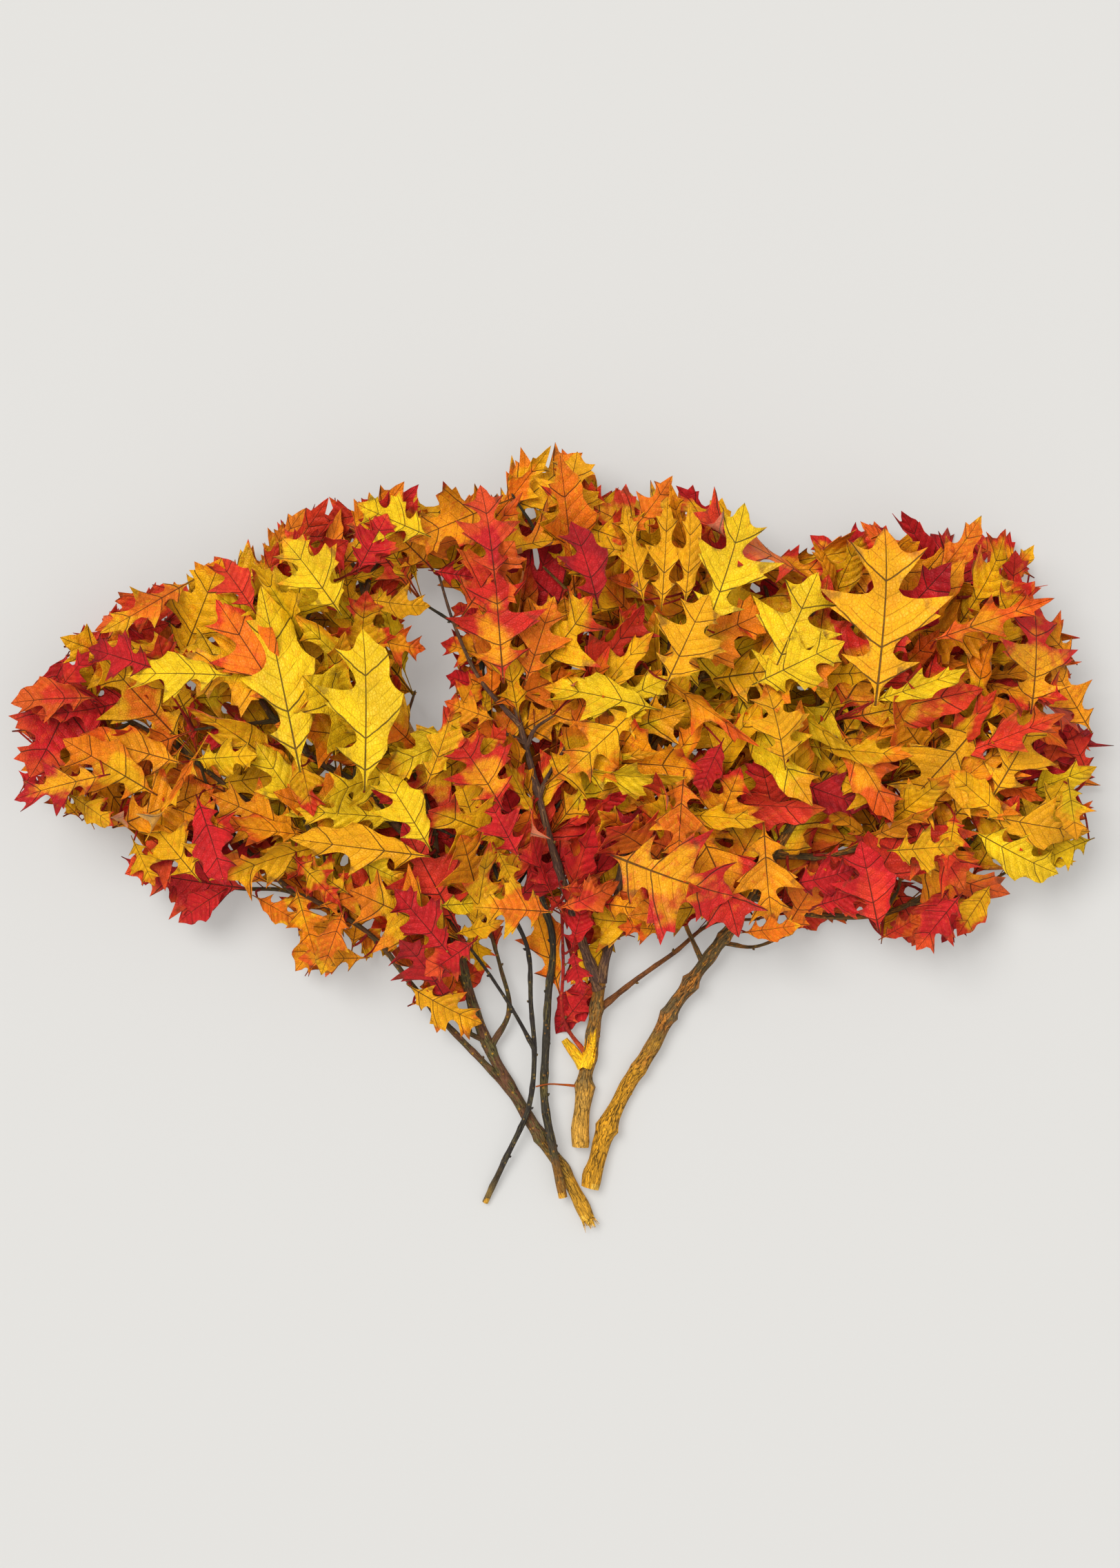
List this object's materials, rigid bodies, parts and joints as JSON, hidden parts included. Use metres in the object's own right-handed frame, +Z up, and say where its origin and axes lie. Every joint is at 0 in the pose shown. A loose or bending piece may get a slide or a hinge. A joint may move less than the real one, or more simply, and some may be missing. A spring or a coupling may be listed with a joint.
{
  "type": "autumn leaf bunch",
  "caption": "Loose bunch of cut oak branches with dried yellow and red autumn leaves, fanned out and lying flat, for display and table decoration.",
  "frame": {"origin": "under the middle of the whole bunch, on the surface that it lies on", "axes": "+X to the right across the fan of leaves, +Y from the cut ends towards the leaves, +Z up"},
  "size_m": [0.862, 0.6198, 0.1118],
  "materials": {
    "lemon_leaves": "satin, papery, yellow running to orange and red at the tips",
    "crimson_leaves": "satin, papery, crimson and orange",
    "orange_leaves": "satin, papery, orange and red with yellow",
    "golden_leaves": "satin, papery, golden and curly",
    "amber_leaves": "satin, papery, amber with orange red tips",
    "bark": "dry bark, olive and ochre brown, with fine cracks and pale cut ends"
  },
  "bodies": {
    "root": {"branch_left": "lemon_leaves", "branch_thin": "crimson_leaves", "branch_dark": "orange_leaves", "branch_middle": "golden_leaves", "branch_right": "amber_leaves"}
  },
  "joints": []
}
